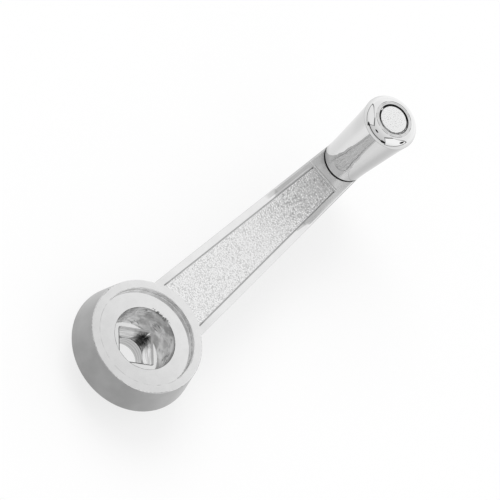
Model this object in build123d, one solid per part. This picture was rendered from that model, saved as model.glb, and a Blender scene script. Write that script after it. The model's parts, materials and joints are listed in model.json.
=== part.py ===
"""Crank handle: a die-cast arm with a square drive socket and a revolving grip on a riveted pin.

Millimetres, +Z up. The origin is on the hub's axis, in the rear face of the boss, +Z points out of
the hub's front and +X runs along the arm to the grip.
"""
from build123d import *
from math import acos, cos, sin
import os

# ---- Driving dimensions -------------------------------------------------------------------------
centre_distance = 99.5  # hub axis to grip axis

# Hub: an outer ring that flares towards its back, on a boss that stands out of the back
ring_front_diameter = 36.2
ring_back_diameter = 40.2
ring_thickness = 10.8
ring_skirt_wall = 2.6
front_edge_radius = 0.35
back_edge_radius = 0.5
boss_length = 8.6
boss_root_diameter = 25.0
boss_end_diameter = 24.0
boss_edge_chamfer = 0.6

# Drive, from the front: cap recess, bolt head counterbore, square socket, round bolt hole
cap_recess_diameter = 30.8
cap_recess_depth = 1.8
cap_recess_corner_radius = 0.2
head_counterbore_diameter = 20.0
head_counterbore_depth = 6.2
socket_side = 10.4
socket_depth = 6.9
socket_corner_radius = 0.4
socket_mouth_chamfer = 0.5
socket_turn = 45.0  # degrees, so that one corner points to the grip
bolt_hole_diameter = 10.3

# Arm: a tapered bar, flush with the hub's front
arm_hub_radius = 11.15  # circle about the hub axis that the arm's sides are tangent to
arm_end_radius = 6.95  # circle about the grip axis that rounds the arm's end
arm_thickness = 8.0
arm_top_edge_radius = 0.5
arm_bottom_edge_radius = 1.0

# Grained panel, sunk into the arm's front
panel_border = 2.2
panel_depth = 0.8
panel_hub_clearance = 0.3  # from the ring's front edge to the panel's arched end
panel_end_from_grip_axis = 10.2

# Coring of the back
casting_web = 2.4  # wall left between a front recess and a back pocket
pocket_side_wall = 2.2
pocket_rib_thickness = 2.0
pocket_corner_radius = 1.4
groove_floor_chamfer = 0.7

# Grip: a turned sleeve that widens from a plain foot to a beaded head with a crowned end
grip_length = 31.6
grip_foot_diameter = 14.1
grip_barrel_sections = ((10.0, 15.22), (20.0, 16.64), (25.0, 17.44))  # height above the foot, diameter
grip_head_diameter = 18.2
grip_head_height = 29.2  # from the foot to the edge where the crown starts
grip_face_diameter = 12.4  # flat ring round the pin's head
grip_crown_radius = 4.2
grip_foot_edge_radius = 0.25
grip_foot_slope = 0.02  # how fast the radius grows with height, at the foot
grip_head_slope = 0.08  # the same, under the crown
grip_gap = 0.4  # from the arm to the grip's base
pin_running_clearance = 0.05  # radial, between the pin's shank and the grip's bore

# Grip pin: a shouldered rivet with its head sunk in the grip's end and its tail peened at the back
pin_shank_diameter = 7.0
pin_tenon_diameter = 5.0
pin_head_diameter = 9.0
pin_head_thickness = 2.6
pin_head_edge_radius = 0.25
pin_head_radial_gap = 0.6
pin_head_seat_gap = 0.3
pin_tail_diameter = 7.6
pin_tail_depth = 1.3
pin_tail_crown = 0.4
rivet_clearance = 0.02  # between the pin's tenon and the arm

# ---- Heights and places worked out from them ----------------------------------------------------
ring_back_z = boss_length
front_z = ring_back_z + ring_thickness
cap_floor_z = front_z - cap_recess_depth
ledge_z = cap_floor_z - head_counterbore_depth
socket_floor_z = ledge_z - socket_depth
arm_back_z = front_z - arm_thickness
panel_floor_z = front_z - panel_depth
grip_base_z = front_z + grip_gap
grip_top_z = grip_base_z + grip_length
grip_bore_radius = pin_shank_diameter / 2 + pin_running_clearance
head_pocket_radius = pin_head_diameter / 2 + pin_head_radial_gap
head_pocket_floor_z = grip_top_z - pin_head_thickness - pin_head_seat_gap
cut_margin = 1.0  # how far a cutting tool runs past the face that it opens

# The arm's sides are common tangents of two circles, so they leave both at one angle.
side_angle = acos((arm_hub_radius - arm_end_radius) / centre_distance)


def side_point(inset, x_centre, radius):
    """Tangent point of the arm's upper side, moved in from the side by inset."""
    reach = radius - inset
    return (x_centre + reach * cos(side_angle), reach * sin(side_angle))


def half_width(inset, x):
    """Distance from the arm's centre line to its side, less inset, at x."""
    near_x, near_y = side_point(inset, 0, arm_hub_radius)
    far_x, far_y = side_point(inset, centre_distance, arm_end_radius)
    return near_y + (far_y - near_y) * (x - near_x) / (far_x - near_x)


def mirrored(points):
    """A closed outline from its upper half, given from hub to grip."""
    return points + [(x, -y) for x, y in reversed(points)]


def turned(profile):
    """A solid of revolution about Z from a closed line drawn as (radius, height)."""
    return revolve(Plane.XZ * make_face(profile), Axis.Z)


def raised(plan, bottom_z, height):
    """A prism on plan, from bottom_z upwards."""
    return extrude(Pos(0, 0, bottom_z) * plan, height, dir=(0, 0, 1))


def hub_blank():
    """Ring and boss, before the drive and the pockets are cut."""
    front_radius = ring_front_diameter / 2
    back_radius = ring_back_diameter / 2
    boss_end_radius = boss_end_diameter / 2
    outline = Polyline(
        (0, 0),
        (boss_end_radius - boss_edge_chamfer, 0),
        (boss_end_radius, boss_edge_chamfer),
        (boss_root_diameter / 2, ring_back_z),
        (back_radius, ring_back_z),
        (front_radius, front_z),
        (0, front_z),
        (0, 0),
    )
    hub = turned(outline)
    front_rim = hub.edges().filter_by(GeomType.CIRCLE).sort_by(Axis.Z)[-1]
    hub = fillet(front_rim, front_edge_radius)
    back_rims = hub.edges().filter_by_position(Axis.Z, ring_back_z, ring_back_z)
    back_rim = back_rims.filter_by(GeomType.CIRCLE).sort_by(SortBy.RADIUS)[-1]
    return fillet(back_rim, back_edge_radius)


def arm_blank():
    """The tapered bar, rounded about the grip axis."""
    near = side_point(0, 0, arm_hub_radius)
    far = side_point(0, centre_distance, arm_end_radius)
    tip = (centre_distance + arm_end_radius, 0)
    outline = [
        Line(near, far),
        ThreePointArc(far, tip, (far[0], -far[1])),
        Line((far[0], -far[1]), (near[0], -near[1])),
        Line((near[0], -near[1]), near),
    ]
    bar = raised(make_face(outline), arm_back_z, arm_thickness)
    for level, radius in ((-1, arm_top_edge_radius), (0, arm_bottom_edge_radius)):
        rim = bar.edges().group_by(Axis.Z)[level]
        bar = fillet(rim.filter_by(lambda edge: edge.center().X > near[0] + cut_margin), radius)
    return bar


def drive_cut():
    """Everything the drive removes: recess, counterbore, square socket and bolt hole."""
    recess = raised(Circle(cap_recess_diameter / 2), cap_floor_z, cap_recess_depth + cut_margin)
    recess = fillet(recess.edges().sort_by(Axis.Z)[0], cap_recess_corner_radius)
    counterbore = raised(
        Circle(head_counterbore_diameter / 2), ledge_z, head_counterbore_depth + cut_margin
    )
    square = Rot(0, 0, socket_turn) * RectangleRounded(socket_side, socket_side, socket_corner_radius)
    socket = raised(square, socket_floor_z, socket_depth)
    mouth_side = socket_side + 2 * socket_mouth_chamfer
    mouth_radius = socket_corner_radius + socket_mouth_chamfer
    mouth = Rot(0, 0, socket_turn) * RectangleRounded(mouth_side, mouth_side, mouth_radius)
    lead_in = loft([Pos(0, 0, ledge_z - socket_mouth_chamfer) * square, Pos(0, 0, ledge_z) * mouth])
    hole = raised(Circle(bolt_hole_diameter / 2), -cut_margin, socket_floor_z + 2 * cut_margin)
    return [recess, counterbore, socket, lead_in, hole]


def panel_cut():
    """The sunk panel: parallel to the arm's sides, arched round the hub, square at the grip."""
    end_x = centre_distance - panel_end_from_grip_axis
    arch_radius = ring_front_diameter / 2 + panel_hub_clearance
    outline = mirrored([(0, half_width(panel_border, 0)), (end_x, half_width(panel_border, end_x))])
    plan = Polygon(*outline, align=None) - Circle(arch_radius)
    return raised(plan, panel_floor_z, panel_depth + cut_margin)


def ring_pocket():
    """The groove that cores the hub's back, between the boss and the ring's skirt."""
    depth = cap_floor_z - casting_web - ring_back_z
    skirt_radius = ring_back_diameter / 2 - ring_skirt_wall
    groove = Circle(skirt_radius) - Circle(boss_root_diameter / 2)
    tool = raised(groove, ring_back_z - cut_margin, depth + cut_margin)
    return chamfer(tool.edges().group_by(Axis.Z)[-1], groove_floor_chamfer)


def arm_pockets():
    """Two tapered pockets that core the arm's back, either side of a central rib."""
    start_x = ring_back_diameter / 2 + pocket_side_wall
    end_x = centre_distance - arm_end_radius - pocket_side_wall
    rib_y = pocket_rib_thickness / 2
    outline = Polygon(
        (start_x, rib_y),
        (start_x, half_width(pocket_side_wall, start_x)),
        (end_x, half_width(pocket_side_wall, end_x)),
        (end_x, rib_y),
        align=None,
    )
    outline = fillet(outline.vertices(), pocket_corner_radius)
    depth = panel_floor_z - casting_web - arm_back_z
    upper = raised(outline, arm_back_z - cut_margin, depth + cut_margin)
    return [upper, mirror(upper, Plane.XZ)]


def rivet_cut():
    """The hole for the pin's tenon, countersunk for its peened tail."""
    hole_radius = pin_tenon_diameter / 2 + rivet_clearance
    mouth_radius = pin_tail_diameter / 2 + rivet_clearance
    bore = turned(
        Polyline(
            (0, arm_back_z - cut_margin),
            (mouth_radius, arm_back_z - cut_margin),
            (mouth_radius, arm_back_z),
            (hole_radius, arm_back_z + pin_tail_depth),
            (hole_radius, front_z + cut_margin),
            (0, front_z + cut_margin),
            (0, arm_back_z - cut_margin),
        )
    )
    return Pos(centre_distance, 0, 0) * bore


def crank_arm():
    """The one-piece casting: hub, boss and arm."""
    casting = hub_blank() + arm_blank()
    for tool in drive_cut():
        casting -= tool
    casting -= panel_cut()
    casting -= ring_pocket()
    for tool in arm_pockets():
        casting -= tool
    return casting - rivet_cut()


def grip():
    """The revolving sleeve: foot, widening barrel, crowned head, pocket for the pin's head."""
    foot_radius = grip_foot_diameter / 2
    head_radius = grip_head_diameter / 2
    face_radius = grip_face_diameter / 2
    widest_z = grip_base_z + grip_head_height
    foot = RadiusArc(
        (foot_radius - grip_foot_edge_radius, grip_base_z),
        (foot_radius, grip_base_z + grip_foot_edge_radius),
        -grip_foot_edge_radius,
    )
    barrel = Spline(
        (foot_radius, grip_base_z + grip_foot_edge_radius),
        *[(diameter / 2, grip_base_z + height) for height, diameter in grip_barrel_sections],
        (head_radius, widest_z),
        tangents=[(grip_foot_slope, 1), (grip_head_slope, 1)],
    )
    crown = RadiusArc((head_radius, widest_z), (face_radius, grip_top_z), -grip_crown_radius)
    inside = Polyline(
        (face_radius, grip_top_z),
        (head_pocket_radius, grip_top_z),
        (head_pocket_radius, head_pocket_floor_z),
        (grip_bore_radius, head_pocket_floor_z),
        (grip_bore_radius, grip_base_z),
        (foot_radius - grip_foot_edge_radius, grip_base_z),
    )
    return Pos(centre_distance, 0, 0) * turned([foot, barrel, crown, inside])


def grip_pin():
    """The shouldered rivet: flat head, shank in the grip, tenon and crowned tail in the arm."""
    head_radius = pin_head_diameter / 2
    shank_radius = pin_shank_diameter / 2
    tenon_radius = pin_tenon_diameter / 2
    tail_radius = pin_tail_diameter / 2
    head_bottom_z = grip_top_z - pin_head_thickness
    side = Polyline(
        (tail_radius, arm_back_z),
        (tenon_radius, arm_back_z + pin_tail_depth),
        (tenon_radius, front_z),
        (shank_radius, front_z),
        (shank_radius, head_bottom_z),
        (head_radius, head_bottom_z),
        (head_radius, grip_top_z - pin_head_edge_radius),
    )
    edge = RadiusArc(
        (head_radius, grip_top_z - pin_head_edge_radius),
        (head_radius - pin_head_edge_radius, grip_top_z),
        -pin_head_edge_radius,
    )
    axis = Polyline(
        (head_radius - pin_head_edge_radius, grip_top_z),
        (0, grip_top_z),
        (0, arm_back_z - pin_tail_crown),
    )
    crown_radius = (tail_radius**2 + pin_tail_crown**2) / (2 * pin_tail_crown)
    crown = RadiusArc((0, arm_back_z - pin_tail_crown), (tail_radius, arm_back_z), -crown_radius)
    return Pos(centre_distance, 0, 0) * turned([side, edge, axis, crown])


parts = {"crank_arm": crank_arm(), "grip": grip(), "grip_pin": grip_pin()}
os.makedirs("parts", exist_ok=True)
for name, shape in parts.items():
    solid = shape.solids()[0]
    export_step(solid, f"parts/{name}.step")
    print(name, round(solid.volume, 1), "mm3")
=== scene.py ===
import json
import math

import bpy
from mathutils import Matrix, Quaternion, Vector


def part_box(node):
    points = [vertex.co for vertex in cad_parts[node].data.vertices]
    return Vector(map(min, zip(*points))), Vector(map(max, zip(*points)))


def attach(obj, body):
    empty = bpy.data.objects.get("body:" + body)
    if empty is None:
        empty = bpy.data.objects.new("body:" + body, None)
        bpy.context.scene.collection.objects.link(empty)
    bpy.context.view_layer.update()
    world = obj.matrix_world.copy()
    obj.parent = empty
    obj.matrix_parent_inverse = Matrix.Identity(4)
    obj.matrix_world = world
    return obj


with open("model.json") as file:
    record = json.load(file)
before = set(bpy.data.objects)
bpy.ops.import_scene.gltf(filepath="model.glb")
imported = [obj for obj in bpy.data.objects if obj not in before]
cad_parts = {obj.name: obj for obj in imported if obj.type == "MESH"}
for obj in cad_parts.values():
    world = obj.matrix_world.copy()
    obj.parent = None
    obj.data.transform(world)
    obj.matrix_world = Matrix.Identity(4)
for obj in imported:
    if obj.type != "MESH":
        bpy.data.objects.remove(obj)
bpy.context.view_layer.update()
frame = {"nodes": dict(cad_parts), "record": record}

mm = 0.001

# %% [markdown]
# ## What is being dressed
# The object is a winding handle of bright plated metal. A round hub at one end takes a square shaft, a tapered
# arm with a grained panel leads away from it, and a turned grip stands on the far end and spins on its pin.
# Three solids come from the engineering model: the casting, the grip and the pin. They already have the right
# shape and size, so the work here is their finish, and the small relief that engineering models leave out.
# The sizes below are measured from those solids, so that every new piece sits where the metal is.

# %% Measures taken from the solids
casting = frame["nodes"]["crank_arm"]
sleeve = frame["nodes"]["grip"]
pin = frame["nodes"]["grip_pin"]
casting_low, casting_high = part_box("crank_arm")
sleeve_low, sleeve_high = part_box("grip")
mounts = {mount["name"]: mount for mount in frame["record"]["mounts"]}

front_z = casting_high.z
ledge_z = mounts["head_counterbore"]["pos_m"][2]
counterbore_radius = mounts["head_counterbore"]["dims"]["r_mm"] * mm
counterbore_depth = mounts["head_counterbore"]["dims"]["length_mm"] * mm
cap_floor_z = ledge_z + counterbore_depth
cap_recess_radius = mounts["cap_recess"]["dims"]["r_mm"] * mm
grip_axis_x = (sleeve_low.x + sleeve_high.x) / 2
print("front at", round(front_z, 5), "cap floor at", round(cap_floor_z, 5), "grip axis at", round(grip_axis_x, 5))

# %% [markdown]
# ## The camera
# A small shiny object is best seen from far away through a long lens, so that its parallel edges stay nearly
# parallel. The camera looks down at the front of the hub from the hub's side of the arm. It is rolled, so that
# the arm rises from the lower left to the upper right. A camera object has no roll setting, so it is first turned
# to look at its target, and then turned about its own line of sight.

# %% Camera
camera_target = Vector((49.21, -1.14, 19.4)) * mm
camera_distance = 1.0652
look_down = math.radians(53.68)
look_across = math.radians(-1.46)
camera_roll = math.radians(50.1)
lens_mm = 251.6

line_of_sight = Vector((
    math.cos(look_down) * math.cos(look_across),
    math.cos(look_down) * math.sin(look_across),
    -math.sin(look_down),
))
camera_data = bpy.data.cameras.new("camera")
camera_data.lens = lens_mm
camera_data.sensor_width = 36.0
camera_data.clip_start = 0.01
camera_data.clip_end = 50.0
camera = bpy.data.objects.new("camera", camera_data)
bpy.context.scene.collection.objects.link(camera)
camera.location = camera_target - line_of_sight * camera_distance
camera.rotation_mode = "QUATERNION"
camera.rotation_quaternion = line_of_sight.to_track_quat("-Z", "Y") @ Quaternion((0, 0, 1), camera_roll)
bpy.context.scene.camera = camera
print("camera at", [round(value, 4) for value in camera.location])

# %% [markdown]
# ## Node helpers
# Every finish below is a small network of nodes. Adding a node, setting its sockets and linking it takes several
# lines each time, so these short helpers do it, and the finishes can then be read like sentences. Wherever a
# helper takes a value, that is a number or the result of another helper.

# %% Helpers that add a node
def connect(tree, socket, value):
    """Links a socket to another one, or sets it to a number."""
    if isinstance(value, bpy.types.NodeSocket):
        tree.links.new(value, socket)
    else:
        socket.default_value = value


def add_node(tree, kind, **sockets):
    """Adds a node and sets input sockets: a socket is named in lower case, with _ for a space."""
    node = tree.nodes.new(kind)
    for name, value in sockets.items():
        socket = next(s for s in node.inputs if s.name.lower().replace(" ", "_") == name and s.enabled)
        connect(tree, socket, value)
    return node


def math_step(tree, operation, *values):
    """One step of arithmetic on numbers."""
    node = tree.nodes.new("ShaderNodeMath")
    node.operation = operation
    for socket, value in zip(node.inputs, values):
        connect(tree, socket, value)
    return node.outputs[0]


def vector_step(tree, operation, place, point=(0.0, 0.0, 0.0)):
    """One step of arithmetic on a place or a direction."""
    node = add_node(tree, "ShaderNodeVectorMath", vector=place)
    node.operation = operation
    node.inputs[1].default_value = point
    return node.outputs["Value" if operation in ("DISTANCE", "LENGTH") else "Vector"]


def parts(tree, vector):
    """The three parts of a place or a direction: x, y and z."""
    return add_node(tree, "ShaderNodeSeparateXYZ", vector=vector).outputs


print("helpers that add a node are ready")

# %% [markdown]
# ## Masks
# Most of what follows is done with masks. A mask is a number at each point of a surface: 1 where a mark is, 0
# where it isn't, and something between along its soft edge. A ramp makes one from a measure, masks are
# multiplied to say "here and there too", and a mix lets a mask choose between two tones.

# %% Helpers that join values
def times(tree, first, *others):
    """The product of several values."""
    for value in others:
        first = math_step(tree, "MULTIPLY", first, value)
    return first


def plus(tree, first, *others):
    """The sum of several values."""
    for value in others:
        first = math_step(tree, "ADD", first, value)
    return first


def minus(tree, first, second):
    """The first value less the second."""
    return math_step(tree, "SUBTRACT", first, second)


print("helpers that join values are ready")

# %% Helpers that make masks
def ramp(tree, value, low, high, low_out=0.0, high_out=1.0):
    """Stretches low..high to low_out..high_out, smoothly, and holds the ends."""
    node = add_node(tree, "ShaderNodeMapRange", value=value, from_min=low, from_max=high,
                    to_min=low_out, to_max=high_out)
    node.interpolation_type = "SMOOTHSTEP"
    return node.outputs[0]


def zone(tree, value, low, high, blur):
    """1 where the value lies between low and high, 0 elsewhere. Each end is soft over twice the blur."""
    rise = ramp(tree, value, low - blur, low + blur)
    return times(tree, rise, ramp(tree, value, high - blur, high + blur, 1.0, 0.0))


def near(tree, place, point, reach, fades_from=0.7):
    """1 near a point, 0 beyond its reach. It fades from a share of the reach."""
    gap = vector_step(tree, "DISTANCE", place, point)
    return ramp(tree, gap, reach * fades_from, reach, 1.0, 0.0)


print("helpers that make masks are ready")

# %% Helpers that mix tones and make clouds
def mixed(tree, mask, first, second):
    """The first value where the mask is 0, and the second where it is 1."""
    node = tree.nodes.new("ShaderNodeMix")
    node.data_type = "FLOAT"
    for socket, value in zip(node.inputs[:1] + node.inputs[2:4], (mask, first, second)):
        connect(tree, socket, value)
    return node.outputs[0]


def speckle(tree, place, size, detail=3.0, roughness=0.5, distortion=0.0):
    """Cloudy noise whose patches are about size across."""
    noise = add_node(tree, "ShaderNodeTexNoise", vector=place, scale=1.0 / size, detail=detail,
                     roughness=roughness, distortion=distortion)
    return noise.outputs[0]


print("helpers that mix tones and make clouds are ready")

# %% [markdown]
# ## The studio
# Polished metal has almost no colour of its own: what it shows is the room. So the room is designed like the
# tent in which small silver is shown. It is bright above and behind the handle, which makes the flat faces
# light, and dimmer on the camera's side, which makes the walls of the recesses grey. It is drawn in the world's
# colour, by direction only, because a real wall would stand in the way of a camera that looks from another side.

# %% Tent
world = bpy.data.worlds.new("light_tent")
bpy.context.scene.world = world
world.use_nodes = True
sky = world.node_tree
direction = sky.nodes.new("ShaderNodeTexCoord").outputs["Generated"]
along, aside, up = parts(sky, direction)

camera_side_tone, far_side_tone, end_wall_tone, foot_tone = 0.66, 0.88, 1.0, 0.95
tent = ramp(sky, along, -0.7, 0.6, camera_side_tone, far_side_tone)
tent = mixed(sky, ramp(sky, along, 0.62, 0.9), tent, end_wall_tone)
tent = mixed(sky, ramp(sky, up, 0.2, 0.45, 1.0, 0.0), tent, foot_tone)
print("tent nodes:", len(sky.nodes))

# %% [markdown]
# ## Two windows
# A tall window in a dark frame stands on each side. The grip mirrors one down each of its flanks, and the frame
# draws the dark line beside it. A window is a rectangle on a wall, so its place is found by division: the part
# of the direction along the arm over the part aside gives the place across the wall, and the part upward over
# the part aside gives the height. The frame is the same rectangle, a little larger, and darker.

# %% Windows
window_width, window_height = (-1.01, 0.49), (0.31, 2.21)
frame_width, frame_height = (-1.11, 0.57), (0.23, 2.81)
right_window_tone, left_window_tone, frame_tone = 1.0, 0.86, 0.16
drawn_blur = 0.01

side_way = math_step(sky, "ABSOLUTE", aside)
across_wall = math_step(sky, "DIVIDE", along, side_way)
up_wall = math_step(sky, "DIVIDE", up, side_way)
window_frame = times(sky, zone(sky, across_wall, *frame_width, drawn_blur),
                     zone(sky, up_wall, *frame_height, drawn_blur))
window = times(sky, zone(sky, across_wall, *window_width, drawn_blur),
               zone(sky, up_wall, *window_height, drawn_blur))
window_tone = ramp(sky, aside, -0.1, 0.1, right_window_tone, left_window_tone)
lit = mixed(sky, window, mixed(sky, window_frame, tent, frame_tone), window_tone)
print("world nodes with the windows:", len(sky.nodes))

# %% [markdown]
# ## A rail and four fittings
# A round crown mirrors nearly the whole room in a small space, and a room without a dark thing in it leaves
# metal looking like plaster. A dark rail on the camera's side and four round fittings, such as lamp heads, give
# it the small hard marks that say "mirror". They show only in the first mirror that the eye meets: seen again
# through a second one they would crowd the recesses. Ray Depth counts the mirrors, and the light itself as one
# more, so one mirror makes it 2, and a value under 2.5 means one mirror at most.

# %% Rail and fittings
rail_height, rail_width = (0.39, 0.49), (-0.53, 0.67)
lamp_heads = (
    ((-0.63, 0.66, 0.40), 0.15),
    ((-0.75, -0.51, 0.42), 0.18),
    ((-0.50, 0.10, 0.86), 0.115),
    ((0.26, -0.83, 0.50), 0.13),
)
fittings = times(sky, zone(sky, up, *rail_height, drawn_blur), ramp(sky, along, -0.58, -0.54, 1.0, 0.0),
                 zone(sky, aside, *rail_width, drawn_blur))
for way, size in lamp_heads:
    lamp_head = near(sky, direction, Vector(way).normalized(), size, fades_from=0.8)
    fittings = math_step(sky, "MAXIMUM", fittings, lamp_head)
ray_depth = sky.nodes.new("ShaderNodeLightPath").outputs["Ray Depth"]
one_mirror_depth = 2.5
first_mirror = math_step(sky, "LESS_THAN", ray_depth, one_mirror_depth)
fitting_tone = 0.01
room = mixed(sky, times(sky, fittings, first_mirror), lit, fitting_tone)
sky.links.new(room, sky.nodes["Background"].inputs["Color"])
print("world nodes:", len(sky.nodes))

# %% [markdown]
# ## The table
# The handle lies on a plain white table. To the camera, and in the metal, the table shows mostly as plain white
# and a little as lit paint, so the shadow stays soft and pale. To the light that bounces about it is ordinary
# white paint. A mix of two shaders does that, and Light Path says which kind of ray has arrived.

# %% Table
table_size = 6.0
paint_tone = 0.92
white_share = 0.75
bpy.ops.mesh.primitive_plane_add(size=table_size, location=(0, 0, casting_low.z))
floor = bpy.context.object
floor.name = "table"
bpy.ops.object.transform_apply(location=True, rotation=True, scale=True)
paint = bpy.data.materials.new("white_table")
paint.use_nodes = True
tree = paint.node_tree
tree.nodes.remove(tree.nodes["Principled BSDF"])
matt = add_node(tree, "ShaderNodeBsdfDiffuse", color=(paint_tone, paint_tone, paint_tone, 1))
plain_white = add_node(tree, "ShaderNodeEmission", color=(1, 1, 1, 1), strength=1.0)
ray = tree.nodes.new("ShaderNodeLightPath").outputs
seen = math_step(tree, "MAXIMUM", ray["Is Camera Ray"], ray["Is Glossy Ray"])
seen = math_step(tree, "MAXIMUM", seen, ray["Is Transmission Ray"])
blend = add_node(tree, "ShaderNodeMixShader", fac=times(tree, seen, white_share))
tree.links.new(matt.outputs[0], blend.inputs[1])
tree.links.new(plain_white.outputs[0], blend.inputs[2])
tree.links.new(blend.outputs[0], tree.nodes["Material Output"].inputs["Surface"])
floor.data.materials.append(paint)
print("table at height", round(casting_low.z, 5))

# %% [markdown]
# ## The key light
# One soft lamp, high up beyond the grip and to its left, gives the handle its shadow. A real one would be a wide
# cloth box. A sun with a wide angle lights every part of the table alike, however far it reaches, and the
# angle makes the shadow's edge soft. It is kept out of the gloss, because polished metal would show it as a disc.
# The view transform Standard shows a colour as it is written.

# %% Key light
sun_data = bpy.data.lights.new("soft_key", "SUN")
light_way = Vector((-0.3, -0.55, -0.75))
sun_data.energy = 1.3
sun_data.angle = math.radians(40)
sun = bpy.data.objects.new("soft_key", sun_data)
bpy.context.scene.collection.objects.link(sun)
sun.visible_glossy = False
sun.rotation_euler = light_way.to_track_quat("-Z", "Y").to_euler()
bpy.context.scene.view_settings.view_transform = "Standard"
print("key light strength:", sun_data.energy)

# %% [markdown]
# ## Modelling helpers
# An operator in edit mode works on whatever is selected, and a new primitive arrives fully selected. So every
# step here first says what it means: these helpers open a mesh for editing with nothing selected, select faces
# or edges by a rule about their place, and close it again.

# %% Helpers for edit mode
def select_only(piece):
    """Leaves one object selected and active."""
    for other in bpy.context.selected_objects:
        other.select_set(False)
    bpy.context.view_layer.objects.active = piece
    piece.select_set(True)


def open_mesh(piece, mode):
    """Goes into edit mode with nothing selected."""
    select_only(piece)
    bpy.ops.object.mode_set(mode="EDIT")
    bpy.ops.mesh.select_mode(type=mode)
    bpy.ops.mesh.select_all(action="DESELECT")


def select_edges(piece, rule):
    """Selects the edges whose middle meets the rule, and no others."""
    bpy.ops.mesh.select_all(action="DESELECT")
    bpy.ops.object.mode_set(mode="OBJECT")
    mesh = piece.data
    for edge in mesh.edges:
        first, last = (mesh.vertices[index].co for index in edge.vertices)
        edge.select = bool(rule((first + last) / 2))
    bpy.ops.object.mode_set(mode="EDIT")


def close_mesh(piece):
    """Leaves edit mode and puts the piece's place into its mesh."""
    bpy.ops.object.mode_set(mode="OBJECT")
    select_only(piece)
    bpy.ops.object.transform_apply(location=True, rotation=True, scale=True)


print("helpers for edit mode are ready")

# %% [markdown]
# ## Relief helpers
# Cast and worn surfaces are uneven in ways that no one would model point by point. A Displace modifier moves the
# points of a fine mesh by a texture, and a vertex group says how much of that each point takes. Each new piece is
# then told which body carries it, so that it moves with that body.

# %% Helpers for relief
def displace(piece, texture, strength, group="", middle=0.0):
    """Pushes the surface along its normals, by a grey texture or all alike."""
    relief = piece.modifiers.new("relief", "DISPLACE")
    relief.texture = texture
    relief.texture_coords = "LOCAL"
    relief.strength = strength
    relief.mid_level = middle
    relief.vertex_group = group


def weight_group(piece, name, rule):
    """A vertex group whose weight at each point is given by a rule about its place."""
    group = piece.vertex_groups.new(name=name)
    for vertex in piece.data.vertices:
        group.add([vertex.index], max(0.0, min(1.0, rule(vertex.co))), "REPLACE")
    return name


def finish_mesh(piece):
    """Makes every modifier permanent, in order, and smooths the shading."""
    select_only(piece)
    for modifier in list(piece.modifiers):
        bpy.ops.object.modifier_apply(modifier=modifier.name)
    bpy.ops.object.shade_smooth()
    print(piece.name, "has", len(piece.data.polygons), "faces")


print("helpers for relief are ready")

# %% [markdown]
# ## The grained panel
# The arm's front has a sunk panel with a pebble grain, like coarse leather. On the real casting the grain is
# etched into the mould, so it is true relief that catches the light. A bump map would look flat from the side and
# would be lost in a mesh, so here the grain is real, on a sheet that just covers the panel's floor. First the
# floor is measured on the casting: it is the level that lies the panel's depth below the front.

# %% Panel floor, measured
panel_depth = 0.8 * mm
same_level = 0.01 * mm
same_corner = 0.1 * mm
panel_z = front_z - panel_depth
on_panel = [v.co for v in casting.data.vertices if abs(v.co.z - panel_z) < same_level]
panel_far_x = max(co.x for co in on_panel)
far_half_width = max(co.y for co in on_panel if co.x > panel_far_x - same_corner)
near_half_width = max(co.y for co in on_panel)
panel_near_x = min(co.x for co in on_panel if co.y > near_half_width - same_corner)
panel_length = panel_far_x - panel_near_x
print("panel from", round(panel_near_x, 5), "to", round(panel_far_x, 5))
print("half widths", round(near_half_width, 5), "and", round(far_half_width, 5))

# %% [markdown]
# ## The panel's sheet
# A square plane is made as long as the panel, and its two end edges are scaled to the panel's widths, which
# tapers it. The grain needs a point every tenth of a millimetre or so. Subdivide takes at most 100 cuts at a
# time, so the long sides are cut into nine first, and then every strip is cut finely both ways.

# %% Panel sheet
sheet_lift = 0.02 * mm
strip_cuts = 8
fine_cuts = 100
bpy.ops.mesh.primitive_plane_add(
    size=panel_length, location=((panel_near_x + panel_far_x) / 2, 0, panel_z + sheet_lift)
)
grain = bpy.context.object
grain.name = "panel_grain"
open_mesh(grain, "EDGE")
for end, half_width in ((-1, near_half_width), (1, far_half_width)):
    select_edges(grain, lambda middle: middle.x * end > panel_length * 0.4)
    bpy.ops.transform.resize(value=(1, 2 * half_width / panel_length, 1))
select_edges(grain, lambda middle: abs(middle.x) < panel_length * 0.1)
bpy.ops.mesh.subdivide(number_cuts=strip_cuts)
bpy.ops.mesh.select_all(action="SELECT")
bpy.ops.mesh.subdivide(number_cuts=fine_cuts)
close_mesh(grain)
print("panel sheet has", len(grain.data.polygons), "faces")

# %% [markdown]
# ## The grain itself
# A Voronoi texture that subtracts the nearest distance from the next one gives separate rounded pebbles with
# sharp valleys between them, and fine hard noise on top makes them uneven. The grain stays low along the sides
# and the far end, which leaves the thin dark line round the panel. Its low and high levels are then measured,
# because the finish is going to tell valleys from tops by their height.

# %% Grain
pebbles = bpy.data.textures.new("pebbles", "VORONOI")
pebbles.noise_scale = 0.58 * mm
pebbles.weight_1 = -1.0
pebbles.weight_2 = 1.0
pebbles.noise_intensity = 1.8
wrinkles = bpy.data.textures.new("wrinkles", "CLOUDS")
wrinkles.noise_type = "HARD_NOISE"
wrinkles.noise_scale = 0.3 * mm
wrinkles.noise_depth = 0
grain_lift = 0.08 * mm
pebble_height = 0.12 * mm
wrinkle_height = 0.03 * mm
edge_line = 0.35 * mm


def edge_distance(place):
    """How far a point of the sheet is from its sides and its far end."""
    share = (place.x - panel_near_x) / panel_length
    half_width = near_half_width + (far_half_width - near_half_width) * share
    return min(half_width - abs(place.y), panel_far_x - place.x)


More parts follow.
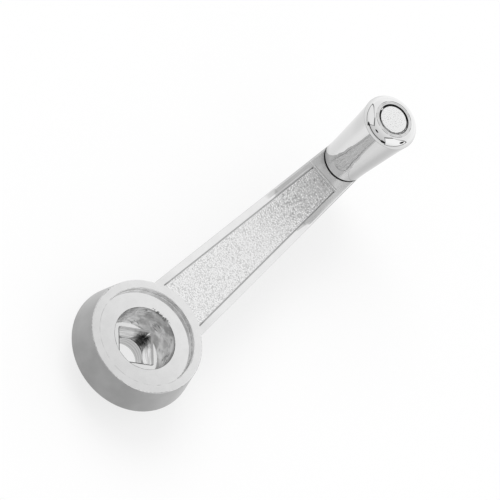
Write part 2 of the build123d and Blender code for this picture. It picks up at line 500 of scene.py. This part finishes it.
inside = weight_group(grain, "inside", lambda place: edge_distance(place) / edge_line - 0.5)
displace(grain, None, grain_lift, inside)
displace(grain, pebbles, pebble_height, inside)
displace(grain, wrinkles, wrinkle_height, inside)
finish_mesh(grain)
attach(grain, "arm")
valley_share, top_share = 0.15, 0.7
heights = sorted(v.co.z - panel_z for v in grain.data.vertices)
grain_low, grain_high = (heights[int(len(heights) * share)] for share in (valley_share, top_share))
print("grain heights in mm:", [round(value / mm, 3) for value in (grain_low, grain_high)])

# %% [markdown]
# ## The bead at the panel's far end
# Where the panel stops short of the grip, its edge is a thin raised bead that shines as one bright line. It is
# a round bar, half sunk in the top of the wall, so a cylinder laid across the arm does it, with its edges bevelled.

# %% Bead
bead_radius = 0.26 * mm
bpy.ops.mesh.primitive_cylinder_add(
    vertices=16, radius=bead_radius, depth=2 * far_half_width, rotation=(math.radians(90), 0, 0),
    location=(panel_far_x, 0, front_z - bead_radius * 0.5),
)
bead = bpy.context.object
bead.name = "panel_end_bead"
open_mesh(bead, "FACE")
bpy.ops.mesh.select_all(action="SELECT")
bpy.ops.mesh.bevel(offset=bead_radius * 0.3, segments=2)
close_mesh(bead)
finish_mesh(bead)
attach(bead, "arm")

# %% [markdown]
# ## The rough wall of the counterbore
# The wide bore in the hub was cast, not turned, so its wall is slightly rippled and a little ragged at the mouth.
# It is a thin skin of its own: an open ring of faces is divided along its height, turned to face inwards, and
# pushed in and out by a noise texture. It stays within 0.2 mm of the solid's wall, always on the inner side, and
# its lower edge runs into the ledge.

# %% Bore wall skin
wall_segments = 288
wall_cuts = 24
skin_gap = 0.06 * mm
bpy.ops.mesh.primitive_cylinder_add(
    vertices=wall_segments, radius=counterbore_radius - skin_gap, depth=counterbore_depth,
    end_fill_type="NOTHING", location=(0, 0, ledge_z + counterbore_depth / 2),
)
bore_skin = bpy.context.object
bore_skin.name = "bore_skin"
open_mesh(bore_skin, "EDGE")
select_edges(bore_skin, lambda middle: abs(middle.z) < counterbore_depth * 0.1)
bpy.ops.mesh.subdivide(number_cuts=wall_cuts)
bpy.ops.mesh.select_all(action="SELECT")
bpy.ops.mesh.flip_normals()
close_mesh(bore_skin)
ripples = bpy.data.textures.new("ripples", "CLOUDS")
ripples.noise_scale = 1.8 * mm
ripples.noise_depth = 4
ripple_height = 0.16 * mm
mean_grey = 0.35
displace(bore_skin, ripples, ripple_height, middle=mean_grey)
finish_mesh(bore_skin)
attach(bore_skin, "arm")

# %% [markdown]
# ## A dark ring in the gap round the pin's head
# The pin's flat head sits in a pocket in the grip's end, with a narrow gap round it so that the grip can spin. A
# dark ring fills the gap, a painted shade for the deep gap. It is a torus that just fits the gap, pushed in here
# and there by a cloudy texture. It turns with the grip.

# %% Dark ring in the gap
pin_head_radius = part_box("grip_pin")[1].y
pocket_radius = 5.1 * mm
gap_shade_play = 0.02 * mm
gap_shade_sunk = 0.05 * mm
gap_shade_radius = (pocket_radius - pin_head_radius) / 2 - gap_shade_play
# A dark ring that stands in for the shade in the gap.
bpy.ops.mesh.primitive_torus_add(
    major_radius=(pocket_radius + pin_head_radius) / 2, minor_radius=gap_shade_radius,
    major_segments=144, minor_segments=16,
    location=(grip_axis_x, 0, sleeve_high.z - gap_shade_radius - gap_shade_sunk),
)
gap_shade = bpy.context.object
gap_shade.name = "grease_ring"
close_mesh(gap_shade)
lumps = bpy.data.textures.new("lumps", "CLOUDS")
lumps.noise_scale = 0.6 * mm
lumps.noise_depth = 2
lump_depth = 0.10 * mm
displace(gap_shade, lumps, -lump_depth)
finish_mesh(gap_shade)
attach(gap_shade, "revolving_grip")
print("grease ring radius in mm:", round(gap_shade_radius / mm, 3))

# %% [markdown]
# ## Finishes
# Each finish is a metal whose tone and roughness change from place to place. Both are worked out from the place
# of a point and the way its surface faces, in the piece's own coordinates, so the marks stay on the metal when
# the handle turns. A real maker would do the same with a brush, wax and a buffing wheel, one zone at a time. The
# helpers here start a finish, measure a distance from an axis, set the result on the shader, and dress a piece.

# %% Helpers for finishes
def new_finish(name):
    """A new metal: the material, its nodes, and the coordinates that it reads."""
    finish = bpy.data.materials.new(name)
    finish.use_nodes = True
    tree = finish.node_tree
    tree.nodes["Principled BSDF"].inputs["Metallic"].default_value = 1.0
    return finish, tree, tree.nodes.new("ShaderNodeTexCoord").outputs


def from_upright(tree, x, y, axis_x=0.0):
    """How far a point is from the upright axis that stands at axis_x."""
    across = minus(tree, x, axis_x) if axis_x else x
    return math_step(tree, "SQRT", plus(tree, times(tree, across, across), times(tree, y, y)))


def toward(tree, x, y, way, axis_x=0.0):
    """How far a point lies in a level direction, given in degrees, from the axis at axis_x."""
    across = minus(tree, x, axis_x) if axis_x else x
    return plus(tree, times(tree, across, math.cos(math.radians(way))),
                times(tree, y, math.sin(math.radians(way))))


def set_grey(tree, tone, rough):
    """Gives the shader a grey tone and a roughness."""
    shader = tree.nodes["Principled BSDF"]
    grey = add_node(tree, "ShaderNodeCombineColor", red=tone, green=tone, blue=tone)
    connect(tree, shader.inputs["Base Color"], grey.outputs[0])
    connect(tree, shader.inputs["Roughness"], rough)


def dress(piece, finish):
    """Gives a piece one finish."""
    piece.data.materials.clear()
    piece.data.materials.append(finish)
    print(piece.name, "wears", finish.name, "with", len(finish.node_tree.nodes), "nodes")


print("helpers for finishes are ready")

# %% [markdown]
# ## The casting: buffed fronts and painted darker walls
# The front faces of the casting are buffed bright. The outer walls have a satin roughness and are painted a darker
# grey, a painted reflection of a dim room, a little lighter where they face sideways. One material serves both,
# because the metal is one piece: the direction a face looks in says whether it was buffed. The tone changes slowly
# along the hub and the arm, and faint clouds keep it from looking printed.

# %% Casting: bright fronts and painted darker walls
hub_tones, arm_gain, front_cloud = (0.74, 0.86), 0.06, 0.015
wall_reflection_tones, satin_cloud, satin_rough = (0.32, 0.39), 0.02, 0.28

finish, tree, read = new_finish("plated_casting")
place = read["Object"]
x, y, z = parts(tree, place)
face_y, face_z = parts(tree, read["Normal"])[1:]
buffed = ramp(tree, face_z, 0.35, 0.8)
upright = ramp(tree, face_z, 0.2, 0.5, 1.0, 0.0)

front_tone = plus(
    tree,
    ramp(tree, x, -20 * mm, 14 * mm, *hub_tones),
    ramp(tree, x, 17 * mm, 26 * mm, 0.0, arm_gain),
    ramp(tree, speckle(tree, place, 3.0 * mm, 2.0), 0.3, 0.7, -front_cloud, front_cloud),
)
# The walls' tone is a painted darker reflection of a dim room.
wall_reflection_tone = plus(
    tree,
    ramp(tree, math_step(tree, "ABSOLUTE", face_y), 0.3, 1.0, *wall_reflection_tones),
    ramp(tree, speckle(tree, place, 6.0 * mm), 0.3, 0.7, -satin_cloud, satin_cloud),
)
print("casting finish so far:", len(tree.nodes), "nodes")

# %% [markdown]
# ## The casting: rougher toward the grip, with a painted reflection of it
# The end of the arm is rougher than the hub. Its front is painted a little darker toward the grip, and its left
# border darker still there, a painted reflection of the grip. The right border is painted a little lighter at its
# very tip, a painted highlight.

# %% Casting: the arm's end
arm_end_rough, hub_rough = 0.22, 0.07
arm_end_painted_shade, left_painted_reflection, right_tip_painted_highlight = 0.04, 0.14, 0.13

left_border = ramp(tree, y, 3 * mm, 5 * mm)
right_border = ramp(tree, y, -5 * mm, -3 * mm, 1.0, 0.0)
arm_end = ramp(tree, x, 72 * mm, 88 * mm)
left_end = times(tree, ramp(tree, x, 66 * mm, 78 * mm), left_border)
right_tip = times(tree, ramp(tree, x, 84 * mm, 89 * mm), right_border)
# Painted reflection of the grip: darker toward it, and a painted highlight at the right tip.
shades = plus(tree, times(tree, arm_end, arm_end_painted_shade), times(tree, left_end, left_painted_reflection))
front_tone = plus(tree, minus(tree, front_tone, shades), times(tree, right_tip, right_tip_painted_highlight))

tone = mixed(tree, buffed, wall_reflection_tone, front_tone)
rough = mixed(tree, buffed, satin_rough, mixed(tree, arm_end, hub_rough, arm_end_rough))
print("casting finish so far:", len(tree.nodes), "nodes")

# %% [markdown]
# ## The casting: marks on the borders beside the grip
# A polished border beside a bright, round grip shows parts of it: on the right a dark wedge and then a light one,
# and on the left a dark strip and a white line along the panel. Rays give only some of this in a small studio,
# so the rest is laid into the finish, where it holds still. All of it is set out by one measure, the distance
# outward from the panel's slanting edge, and a mask by height keeps it off the arm's sides and back.

# %% Casting: a measure from the panel's edge
edge_slope = (far_half_width - near_half_width) / panel_length
panel_edge = math_step(tree, "MULTIPLY_ADD", x, edge_slope, near_half_width - panel_near_x * edge_slope)
off_edge = minus(tree, math_step(tree, "ABSOLUTE", y), panel_edge)
on_front = ramp(tree, z, front_z - 0.1 * mm, front_z - 0.05 * mm)
short_of_grip = ramp(tree, x, 71.6 * mm, 72.2 * mm, 1.0, 0.0)
print("the panel's edge comes in by", round(-edge_slope * 1000, 1), "mm a metre")

# %% Casting: wedges on the right border
wedge_shade, wedge_gain = -0.24, 0.10
full_wedge_width = 1.2 * mm

wedge_width = ramp(tree, x, 63 * mm, 76 * mm, 0.0, full_wedge_width)
in_wedge = ramp(tree, minus(tree, off_edge, wedge_width), -0.1 * mm, 0.1 * mm, 1.0, 0.0)
outside_wedge = minus(tree, 1.0, in_wedge)
beside_grip = minus(tree, 1.0, short_of_grip)
wedges = plus(tree, times(tree, in_wedge, short_of_grip, wedge_shade),
              times(tree, outside_wedge, beside_grip, wedge_gain))
past_start = ramp(tree, x, 67.4 * mm, 67.8 * mm)
tone = plus(tree, tone, times(tree, wedges, right_border, on_front, past_start))
print("casting finish so far:", len(tree.nodes), "nodes")

# %% Casting: strip and line on the left border
strip_shade, line_tone = 0.18, 1.0
line_reach, line_length = (0.22 * mm, 0.50 * mm), (68 * mm, 87 * mm)

left_front = times(tree, left_border, on_front)
strip = times(tree, ramp(tree, off_edge, 0.55 * mm, 0.65 * mm), ramp(tree, x, 66.5 * mm, 68.5 * mm),
              short_of_grip, left_front)
tone = minus(tree, tone, times(tree, strip, strip_shade))
line = times(tree, zone(tree, off_edge, *line_reach, 0.06 * mm), zone(tree, x, *line_length, 2 * mm), left_front)
tone = mixed(tree, line, tone, line_tone)
print("casting finish so far:", len(tree.nodes), "nodes")

# %% [markdown]
# ## The casting: the panel's walls and the shadow behind the bead
# The low walls along the panel are drafted, so that the casting leaves its mould, and they mirror the dim side of
# the room. The wall at the far end is painted bright, a painted highlight that makes one light line with the bead.
# Behind the bead lies a thin dark line, a painted shadow.

# %% Casting: panel walls
side_wall_tone, far_wall_tone, bead_shadow_tone = 0.70, 1.0, 0.52

side_wall = times(tree, ramp(tree, off_edge, 0.08 * mm, 0.15 * mm, 1.0, 0.0), ramp(tree, x, 19 * mm, 20 * mm),
                  ramp(tree, z, panel_z - 0.02 * mm, panel_z - 0.01 * mm), upright)
tone = mixed(tree, side_wall, tone, side_wall_tone)
# The far wall is painted bright, a painted highlight.
far_wall = times(tree, zone(tree, x, panel_far_x - 0.1 * mm, panel_far_x + 0.1 * mm, 0.02 * mm),
                 ramp(tree, z, panel_z - 0.01 * mm, panel_z))
tone = mixed(tree, far_wall, tone, far_wall_tone)
bead_shadow = times(tree, ramp(tree, off_edge, 0.0, 0.1 * mm, 1.0, 0.0),
                    zone(tree, x, panel_far_x + 0.28 * mm, panel_far_x + 0.50 * mm, 0.05 * mm), on_front)
tone = mixed(tree, bead_shadow, tone, bead_shadow_tone)
print("casting finish so far:", len(tree.nodes), "nodes")

# %% [markdown]
# ## The casting: grey edge and painted shade at the grip's seat
# The rounded edge of the arm is painted grey near the grip, a painted dark reflection. Where the grip stands on the
# arm, a dark ring is painted, a painted shade that shows as the thin black line under the grip's foot.

# %% Casting: outer edge and painted shade at the seat
grey_edge_tone, seat_shade_tone, seat_shade_rough = 0.55, 0.10, 0.5
foot_radius = 7.05 * mm

# The grey edge near the grip is a painted dark reflection.
outer_edge = times(tree, zone(tree, face_z, 0.35, 0.93, 0.05), ramp(tree, x, 66 * mm, 84 * mm),
                   ramp(tree, z, front_z - 0.6 * mm, front_z - 0.5 * mm))
tone = mixed(tree, outer_edge, tone, grey_edge_tone)
# A painted shade ring where the grip's foot meets the arm.
from_grip_axis = from_upright(tree, x, y, grip_axis_x)
seat_shade_ring = ramp(tree, from_grip_axis, foot_radius + 0.02 * mm, foot_radius + 0.12 * mm, 1.0, 0.0)
seat_shade_ring = times(tree, seat_shade_ring, on_front)
tone = mixed(tree, seat_shade_ring, tone, seat_shade_tone)
rough = mixed(tree, seat_shade_ring, rough, seat_shade_rough)
print("casting finish so far:", len(tree.nodes), "nodes")

# %% [markdown]
# ## The casting: the cap recess
# A cap would sit in the shallow recess round the bore. Its rim has a broken line where the plating is worn, and
# its wall was never polished, so it is greyer, patchy and duller. A mask by the way the wall faces leaves out the
# rounded top of the rim, which was buffed with the front.

# %% Casting: rim and recess
rim_tone, recess_tones, recess_rough = 0.60, (0.54, 0.72), 0.35
patch_size = 2.2 * mm

from_axis = from_upright(tree, x, y)
patches = speckle(tree, place, patch_size, 5.0, 0.65)
on_rim = zone(tree, from_axis, cap_recess_radius + 0.05 * mm, cap_recess_radius + 0.25 * mm, 0.06 * mm)
above_floor = ramp(tree, z, cap_floor_z + 0.2 * mm, cap_floor_z + 0.4 * mm)
rim_line = times(tree, on_rim, above_floor, buffed, ramp(tree, patches, 0.40, 0.60))
tone = mixed(tree, rim_line, tone, rim_tone)
in_recess = ramp(tree, from_axis, cap_recess_radius + 0.15 * mm, cap_recess_radius + 0.3 * mm, 1.0, 0.0)
recess_wall = times(tree, in_recess, ramp(tree, face_z, 0.80, 0.92, 1.0, 0.0),
                    ramp(tree, z, cap_floor_z - 0.05 * mm, cap_floor_z))
tone = mixed(tree, recess_wall, tone, ramp(tree, patches, 0.35, 0.65, *recess_tones))
rough = mixed(tree, recess_wall, rough, recess_rough)
print("casting finish so far:", len(tree.nodes), "nodes")

# %% [markdown]
# ## The casting: the rough bore
# Little current reaches the inside of a bore when a casting is plated, so the plate is thin there and lets the
# rough metal show. Several clouds of different size do it: broad pale ones, small ones for the rough skin and
# deep ones for the bare places. Two ramps across the bore then make it lighter where the light reaches in.

# %% Casting: bore wall
skin_tones, pale_gain, bare_shade, mouth_shade, old_plate_shade = (0.48, 0.58), 0.16, 0.17, 0.22, 0.16
along_gains, across_gains = (-0.04, 0.10), (0.08, 0.06)

in_bore = ramp(tree, from_axis, counterbore_radius + 0.1 * mm, counterbore_radius + 0.2 * mm, 1.0, 0.0)
bore_wall = times(tree, in_bore, upright, ramp(tree, z, ledge_z - 0.05 * mm, ledge_z))
flattened = add_node(tree, "ShaderNodeMapping", vector=place, scale=(1, 1, 1.5)).outputs[0]
bore_tone = plus(
    tree,
    ramp(tree, patches, 0.38, 0.62, *skin_tones),
    ramp(tree, speckle(tree, flattened, 4.5 * mm, 2.0), 0.45, 0.56, 0.0, pale_gain),
    ramp(tree, x, 2 * mm, 10 * mm, *along_gains),
    ramp(tree, y, -7 * mm, 6 * mm, *across_gains),
)
# Darker patches just under the mouth are a painted shade under the rim.
near_mouth = ramp(tree, z, cap_floor_z - 1.1 * mm, cap_floor_z - 0.3 * mm)
hub_side = ramp(tree, x, 1 * mm, 6 * mm, 1.0, 0.0)
bore_shades = plus(
    tree,
    ramp(tree, speckle(tree, place, 4.0 * mm, 4.0, 0.6), 0.47, 0.53, 0.0, bare_shade),
    times(tree, near_mouth, ramp(tree, patches, 0.42, 0.55, 0.0, mouth_shade)),
    times(tree, hub_side, ramp(tree, patches, 0.46, 0.52, 0.0, old_plate_shade)),
)
bore_tone = minus(tree, bore_tone, bore_shades)
print("casting finish so far:", len(tree.nodes), "nodes")

# %% [markdown]
# ## The casting: cracks in the bore
# Fine dark cracks run through the rough wall here and there. Clouds with some swirl have a level at each point,
# and the points whose level lies in a narrow range form thin winding lines. Broader clouds break them up.

# %% Casting: cracks
crack_tone, bore_rough = 0.10, 0.40
crack_levels = 0.475, 0.50

stains = speckle(tree, flattened, 6.0 * mm, 5.0, distortion=0.8)
cracked_places = ramp(tree, speckle(tree, place, 9.0 * mm, 1.0), 0.40, 0.46)
cracks = times(tree, zone(tree, stains, *crack_levels, 0.006), cracked_places)
bore_tone = mixed(tree, cracks, bore_tone, crack_tone)
tone = mixed(tree, bore_wall, tone, bore_tone)
rough = mixed(tree, bore_wall, rough, bore_rough)
print("casting finish so far:", len(tree.nodes), "nodes")

# %% [markdown]
# ## The casting: the chipped mouth
# Bolts and spanners have knocked flakes of plate off the bore's sharp edge, on the side of the arm. A chip starts
# at the edge and reaches outward or down as far as it happens to. So each point's distance from the edge is set
# against a reach that noise gives, and the point is chipped where the reach is longer.

# %% Casting: chips
chip_tone, longest_chip, chip_size = 0.16, 0.7 * mm, 0.7 * mm
chipped_way = 10

off_mouth = math_step(tree, "MAXIMUM", minus(tree, from_axis, counterbore_radius), minus(tree, cap_floor_z, z))
chip_reach = ramp(tree, speckle(tree, place, chip_size, 4.0, 0.7), 0.45, 0.62, 0.0, longest_chip)
chipped_side = ramp(tree, toward(tree, x, y, chipped_way), 9.6 * mm, 9.9 * mm)
chipped = times(tree, math_step(tree, "LESS_THAN", off_mouth, chip_reach), chipped_side)
tone = mixed(tree, chipped, tone, chip_tone)
print("casting finish so far:", len(tree.nodes), "nodes")

# %% [markdown]
# ## The casting: painted shade in the socket
# Dark streaks run out from one corner of the square socket, a painted shade in the corner. Each point's direction
# from that corner is turned into noise, which gives a length to every ray from the corner, and the shade fades with
# the distance as a share of that length.

# %% Casting: streaks of painted shade
shaded_corner = Vector((6.8, 0.5, 6.7)) * mm
ray_lengths = 1.8 * mm, 5.8 * mm
corner_shade_tone, unshaded_tone = 0.06, 0.88

# Painted shade in the socket's corner, in streaks.
from_corner = vector_step(tree, "SUBTRACT", place, shaded_corner)
ray_noise = speckle(tree, vector_step(tree, "NORMALIZE", from_corner), 0.22, 2.0)
ray_length = ramp(tree, ray_noise, 0.35, 0.65, *ray_lengths)
ray_share = math_step(tree, "DIVIDE", vector_step(tree, "LENGTH", from_corner), ray_length)
corner_shade = ramp(tree, ray_share, 0.27, 1.0, corner_shade_tone, unshaded_tone)
print("casting finish so far:", len(tree.nodes), "nodes")

# %% [markdown]
# ## The casting: the socket's walls
# A square socket is broached: a bar of teeth is pushed through and tears the metal in fine rows, so noise that is
# stretched level draws lines across the walls. The walls are painted a little darker at the mouth and at the left
# corner, a painted shade, and a little lighter at the right one, a painted light.

# %% Casting: socket walls
line_factors, stretch = (0.70, 1.08), (0.12, 0.12, 1)
mouth_factor, left_factor, right_factor = 0.72, 0.84, 1.10
socket_rough = 0.2

in_socket = ramp(tree, from_axis, 7.6 * mm, 7.8 * mm, 1.0, 0.0)
socket_wall = times(tree, in_socket, upright)
stretched = add_node(tree, "ShaderNodeMapping", vector=place, scale=stretch).outputs[0]
broach_lines = ramp(tree, speckle(tree, stretched, 1.1 * mm), 0.38, 0.62, *line_factors)
# Painted shade at the mouth and the left corner, painted light at the right corner.
left_half = ramp(tree, y, 0.0, 0.5 * mm)
at_mouth = mixed(tree, left_half, 1.0, ramp(tree, z, 8.8 * mm, 10.6 * mm, 1.0, mouth_factor))
at_left = ramp(tree, y, 2 * mm, 5 * mm, 1.0, left_factor)
at_right = ramp(tree, y, -3 * mm, 0.0, right_factor, 1.0)
tone = mixed(tree, socket_wall, tone, times(tree, corner_shade, broach_lines, at_mouth, at_left, at_right))
rough = mixed(tree, socket_wall, rough, socket_rough)
print("casting finish so far:", len(tree.nodes), "nodes")

# %% [markdown]
# ## The casting: the round hole and the socket's floor
# Both were turned, and turning leaves rings: a drill's along the hole's wall, and a facing tool's on the narrow
# floor round it. A sine of the height, or of the distance from the axis, is light and dark by turns like them.
# With this the casting's finish is complete, and the bore's skin wears it too.

# %% Casting: turned rings
floor_z = 4.50 * mm
drill_pitch, facing_pitch = 1.3 * mm, 0.8 * mm
hole_tones, floor_tones = (0.50, 0.62), (0.48, 0.78)
floor_rough, lead_in_rough = 0.3, 0.4

drilled = math_step(tree, "SINE", times(tree, z, 2 * math.pi / drill_pitch))
hole_wall = times(tree, in_socket, ramp(tree, z, floor_z - 0.08 * mm, floor_z - 0.02 * mm, 1.0, 0.0))
tone = mixed(tree, hole_wall, tone, ramp(tree, drilled, -1.0, 1.0, *hole_tones))
faced = math_step(tree, "SINE", times(tree, from_axis, 2 * math.pi / facing_pitch))
on_floor = times(tree, in_socket, zone(tree, z, floor_z - 0.04 * mm, floor_z + 0.04 * mm, 0.02 * mm))
tone = mixed(tree, on_floor, tone, ramp(tree, faced, -1.0, 1.0, *floor_tones))
rough = mixed(tree, on_floor, rough, floor_rough)
lead_in = times(tree, in_socket, zone(tree, face_z, 0.5, 0.9, 0.05))
rough = mixed(tree, lead_in, rough, lead_in_rough)
set_grey(tree, tone, rough)
dress(casting, finish)
dress(bore_skin, finish)

# %% [markdown]
# ## The grain's finish
# The tops of the grain are painted nearly white, a painted highlight, while the valleys stay grey, a painted shade.
# So the tone follows the height that was measured above.

# %% Grain finish
valley_shade_tones, top_highlight_tone, grain_rough = (0.62, 0.58), 0.98, 0.20

finish, tree, read = new_finish("grained_plate")
x, y, z = parts(tree, read["Object"])
valley_shade_tone = ramp(tree, x, 50 * mm, 75 * mm, *valley_shade_tones)
# Painted shade in the valleys and a painted highlight on the tops.
raised = ramp(tree, z, panel_z + grain_low, panel_z + grain_high)
set_grey(tree, mixed(tree, raised, valley_shade_tone, top_highlight_tone), grain_rough)
dress(grain, finish)

# %% [markdown]
# ## The bead's finish
# The bead is bright plate, nearly as white as the wall behind it, with faint streaks along it.

# %% Bead finish
bead_tones, bead_rough, streak_size = (0.94, 1.0), 0.12, 1.5 * mm

finish, tree, read = new_finish("bright_bead")
streaks = speckle(tree, read["Object"], streak_size)
set_grey(tree, ramp(tree, streaks, 0.35, 0.6, *bead_tones), bead_rough)
dress(bead, finish)

# %% [markdown]
# ## The grip's barrel
# The grip is turned and polished all over, so nearly all of its look is mirror. A few broad tones are painted on by
# the way the surface faces: a painted shade deepens one flank, and painted reflections lighten the bands that a
# round bar shows beside its windows. The foot and the top of the left flank are painted a little darker, a painted
# shade.

# %% Grip: barrel
flank_shade_tones = 0.45, 0.68
left_band_highlight, right_band_highlight, arm_side_highlight = 0.07, 0.08, 0.07
foot_shade, head_shade = 0.22, 0.06

finish, tree, read = new_finish("polished_grip")
place = read["Object"]
x, y, z = parts(tree, place)
face_x, face_y, face_z = parts(tree, read["Normal"])
arm_side = ramp(tree, face_x, -0.7, -0.4, 1.0, 0.0)
# Painted shade on one flank and painted reflections in the bands.
barrel_tone = plus(
    tree,
    ramp(tree, face_y, -0.9, -0.1, *flank_shade_tones),
    times(tree, zone(tree, face_y, 0.25, 0.5, 0.1), left_band_highlight),
    times(tree, zone(tree, face_y, -0.6, -0.3, 0.1), right_band_highlight),
    times(tree, zone(tree, face_y, -0.3, 0.3, 0.2), arm_side, arm_side_highlight),
)
# Painted shade at the foot and at the top of the left flank.
at_foot = ramp(tree, z, sleeve_low.z, sleeve_low.z + 3.5 * mm, 1.0, 0.0)
at_head = ramp(tree, z, sleeve_high.z - 14 * mm, sleeve_high.z - 6 * mm)
barrel_shades = plus(
    tree,
    times(tree, ramp(tree, face_y, 0.1, 0.5, 0.0, foot_shade), at_foot),
    times(tree, ramp(tree, face_y, 0.3, 0.7, 0.0, head_shade), at_head),
)
barrel_tone = minus(tree, barrel_tone, barrel_shades)
print("grip finish so far:", len(tree.nodes), "nodes")

# %% [markdown]
# ## The grip's crown
# The crowned end is painted brighter than the barrel and darker round its widest part, a painted reflection. Its
# flat face is a little greyer, and a fine grey line marks the edge where crown and barrel meet. The edge is the
# widest ring of the grip, so its height is measured there.

# %% Grip: crown and edge
crown_reflection_tones, flat_tone, edge_tone = (0.70, 0.89), 0.76, 0.45
half_edge = 0.08 * mm

# Painted reflection: the crown is darker round its widest part.
crown_tone = ramp(tree, face_z, 0.52, 0.80, *crown_reflection_tones)
crown_tone = mixed(tree, ramp(tree, face_z, 0.97, 0.99), crown_tone, flat_tone)
tone = mixed(tree, ramp(tree, face_z, 0.15, 0.3), barrel_tone, crown_tone)
grip_radius = sleeve_high.y
edge_z = max(v.co.z for v in sleeve.data.vertices
             if abs(math.hypot(v.co.x - grip_axis_x, v.co.y) - grip_radius) < same_level)
tone = mixed(tree, zone(tree, z, edge_z - half_edge, edge_z + half_edge, half_edge), tone, edge_tone)
print("crown edge at height", round(edge_z, 5))

# %% [markdown]
# ## The grip's painted shade in the gaps
# The pocket round the pin and the corner under the foot are painted nearly black, a painted shade in these narrow
# gaps. At one place the pocket's edge is left bright, a small nick in the dark ring.

# %% Grip: painted shade in the gaps
crease_shade_tones, crease_shade_rough = (0.02, 0.5), 0.5
nick_way, nick_size = math.radians(98), 0.75 * mm

nick_place = Vector((math.cos(nick_way), math.sin(nick_way), 0)) * pocket_radius
nick_place += Vector((grip_axis_x, 0, sleeve_high.z))
from_grip_axis = from_upright(tree, x, y, grip_axis_x)
# Painted shade in the pocket and in the corner under the foot.
pocket_shade = ramp(tree, from_grip_axis, pocket_radius + 0.01 * mm, pocket_radius + 0.06 * mm, 1.0, 0.0)
foot_crease_shade = ramp(tree, z, sleeve_low.z + 0.02 * mm, sleeve_low.z + 0.12 * mm, 1.0, 0.0)
off_nick = minus(tree, 1.0, near(tree, place, nick_place, nick_size))
pocket_and_foot_shade = times(tree, math_step(tree, "MAXIMUM", pocket_shade, foot_crease_shade), off_nick)
tone = mixed(tree, pocket_and_foot_shade, tone, ramp(tree, speckle(tree, place, 3.0 * mm), 0.42, 0.58, *crease_shade_tones))
print("nick at", [round(value, 5) for value in nick_place])

# %% [markdown]
# ## The grip's scuffs
# The flat face has two broken rings of fine scuffs round the pocket, as a washer leaves them. Each ring is a zone
# of the distance from the grip's axis, and clouds break it.

# %% Grip: scuffs
scuff_tone, polish_roughs = 0.24, (0.07, 0.03)
inner_ring, outer_ring, ring_blur = (5.5 * mm, 5.6 * mm), (5.95 * mm, 6.1 * mm), 0.08 * mm

rings = math_step(tree, "MAXIMUM", zone(tree, from_grip_axis, *inner_ring, ring_blur),
                  zone(tree, from_grip_axis, *outer_ring, ring_blur))
scuffed_places = ramp(tree, speckle(tree, place, 2.0 * mm, 2.0), 0.43, 0.51)
scuffs = times(tree, rings, scuffed_places, ramp(tree, face_z, 0.9, 0.95))
tone = mixed(tree, scuffs, tone, scuff_tone)
polish_rough = ramp(tree, face_x, -0.85, -0.5, *polish_roughs)
set_grey(tree, tone, mixed(tree, pocket_and_foot_shade, polish_rough, crease_shade_rough))
dress(sleeve, finish)

# %% [markdown]
# ## The dark ring's finish
# The ring is black on one side and grey on the other, a painted shade that is lighter on the lit side, and nearly
# white at the nick. It is made as a metal too, so that it shines like the plate.

# %% Dark ring finish
gap_shade_tones, nick_tone, least_tone, gap_shade_rough = (0.12, 0.5), 0.85, 0.02, 0.35
dark_way = 50

finish, tree, read = new_finish("old_grease")
place = read["Object"]
x, y, z = parts(tree, place)
# Painted shade in the gap, lighter on one side as painted light.
lit_side = ramp(tree, toward(tree, x, y, dark_way, grip_axis_x), -3.5 * mm, 0.5 * mm, 1.0, 0.0)
gap_shade_tone = times(tree, lit_side, ramp(tree, speckle(tree, place, 1.2 * mm), 0.35, 0.6, *gap_shade_tones))
gap_shade_tone = mixed(tree, near(tree, place, nick_place, nick_size), gap_shade_tone, nick_tone)
set_grey(tree, plus(tree, gap_shade_tone, least_tone), gap_shade_rough)
dress(gap_shade, finish)

# %% [markdown]
# ## The pin's finish
# The pin's flat head was struck with a hammer and never polished, so it is pale and closely pitted: fine noise
# between a grey and a near white. Its shank is hidden in the grip and stays plain.

# %% Pin finish
shank_tone, head_tones, pin_rough = 0.6, (0.55, 0.94), 0.14
pit_size = 0.35 * mm

finish, tree, read = new_finish("plated_pin")
face_z = parts(tree, read["Normal"])[2]
head_tone = ramp(tree, speckle(tree, read["Object"], pit_size), 0.30, 0.44, *head_tones)
set_grey(tree, mixed(tree, ramp(tree, face_z, 0.3, 0.6), shank_tone, head_tone), pin_rough)
dress(pin, finish)

# %% [markdown]
# ## The end
# All pieces are now dressed.

# %% End
print("all pieces are dressed")
